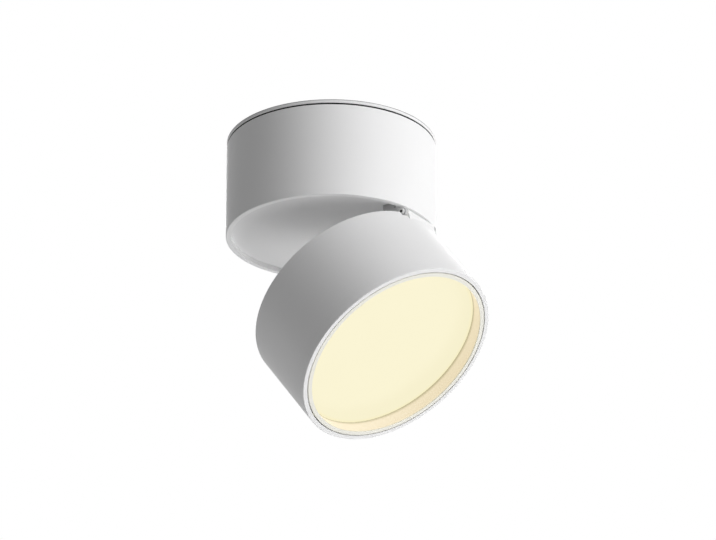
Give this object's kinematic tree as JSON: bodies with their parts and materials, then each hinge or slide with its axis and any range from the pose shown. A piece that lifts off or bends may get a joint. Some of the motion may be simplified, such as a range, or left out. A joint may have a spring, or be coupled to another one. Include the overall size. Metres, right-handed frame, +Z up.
{
  "type": "surface mounted ceiling spotlight",
  "caption": "Round drum that turns under a ceiling plate, with a lamp head of the same diameter hinged to its lower edge and a lens set back in the head's front.",
  "frame": {"origin": "centre of the ceiling face of the plate, on the axis that the drum turns about", "axes": "+Z up into the ceiling, +X towards the hinge of the head as shown, +Y along the hinge"},
  "size_m": [0.1266, 0.1, 0.1474],
  "materials": {
    "white_paint": "fine satin powder coat on steel",
    "white_alloy": "fine satin powder coat on die cast alloy",
    "white_trim": "satin moulded",
    "opal": "translucent opal, lit warm white",
    "white_reflector": "matt moulded",
    "zinc_steel": "zinc plated",
    "bracket_steel": "dark passivated",
    "screw_steel": "zinc plated",
    "pivot_steel": "satin, socket left dark",
    "cast_alloy": "as cast",
    "bearing_plastic": "slippery moulded",
    "grey_rubber": "soft matt",
    "white_rubber": "soft matt",
    "lead_sheath": "satin sheath",
    "driver_plastic": "moulded",
    "green_board": "lacquered",
    "component_black": "moulded",
    "block_plastic": "moulded",
    "brass": "machined",
    "brown_wire": "insulation",
    "earth_wire": "insulation",
    "board_white": "white mask over aluminium",
    "phosphor": "phosphor in white package"
  },
  "bodies": {
    "ceiling_mount": {"ceiling_plate": "white_paint", "latch_spring": "zinc_steel", "latch_rivet": "zinc_steel", "swivel_hub": "cast_alloy", "cable_grommet": "grey_rubber", "bearing_ring": "bearing_plastic", "thrust_washer": "bearing_plastic", "disc_spring": "zinc_steel", "hub_nut": "zinc_steel"},
    "drum": {"turntable_plate": "zinc_steel", "stop_pin": "zinc_steel", "turntable_screws": "screw_steel", "drum_housing": "white_alloy", "hinge_bracket": "bracket_steel", "bracket_screws": "screw_steel", "driver_case": "driver_plastic", "driver_board": "green_board", "driver_parts": "component_black", "driver_cover": "driver_plastic", "driver_screws": "screw_steel", "terminal_block": "block_plastic", "terminal_screws": "brass", "block_screws": "screw_steel", "input_leads": "brown_wire", "earth_lead": "earth_wire", "earth_screw": "brass", "floor_grommet": "white_rubber", "head_lead": "lead_sheath"},
    "head": {"head_housing": "white_alloy", "hinge_screws": "pivot_steel", "friction_washers": "bearing_plastic", "head_grommet": "white_rubber", "heat_sink": "cast_alloy", "sink_screws": "screw_steel", "led_board": "board_white", "led_packages": "phosphor", "board_screws": "screw_steel", "lead_connector": "block_plastic", "reflector": "white_reflector", "lens_gasket": "white_rubber", "diffuser": "opal", "trim_ring": "white_trim"}
  },
  "joints": [
    {"name": "drum_swivel", "type": "hinge", "parent": "ceiling_mount", "child": "drum", "pos_m": [0, 0, 0], "axis": [0, 0, 1], "range_deg": [-175, 175]},
    {"name": "head_tilt", "type": "hinge", "parent": "drum", "child": "head", "pos_m": [0.0485, 0, -0.0523], "axis": [0, -1, 0], "range_deg": [-37, 53], "deforming": ["head_lead"]}
  ]
}
